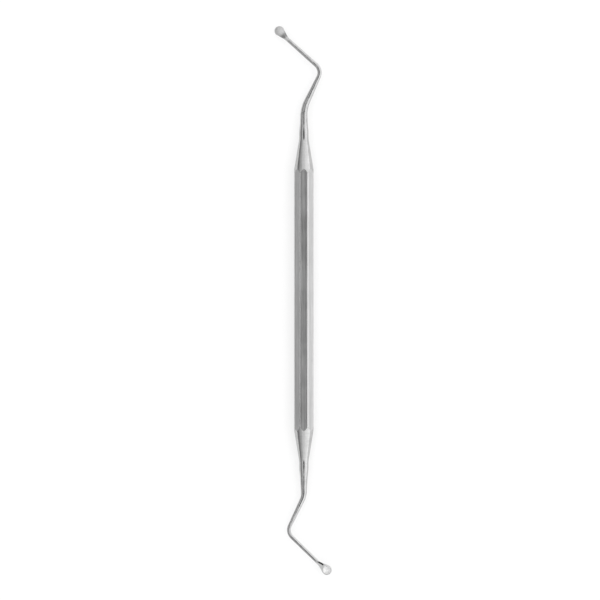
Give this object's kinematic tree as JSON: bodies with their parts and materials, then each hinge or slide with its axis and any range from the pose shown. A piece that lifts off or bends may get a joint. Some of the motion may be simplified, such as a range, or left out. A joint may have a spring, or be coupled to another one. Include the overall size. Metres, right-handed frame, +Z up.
{
  "type": "bone curette",
  "caption": "Double-ended bone curette with an octagonal grip, turned cones, slender doubly bent round shanks and small round bowls that face opposite ways.",
  "frame": {"origin": "middle of the grip's underside flat, on which the instrument lies", "axes": "+Y along the grip towards the end whose bowl is turned down, +X to the right seen from above, +Z up, away from the surface it lies on; both ends are bent in the level plane"},
  "size_m": [0.0177, 0.1701, 0.006],
  "materials": {
    "steel": "polished round shanks and cones, finely drawn grip flats, bead-satin bowl backs and finely ground bowls"
  },
  "bodies": {
    "root": {"curette": "steel"}
  },
  "joints": []
}
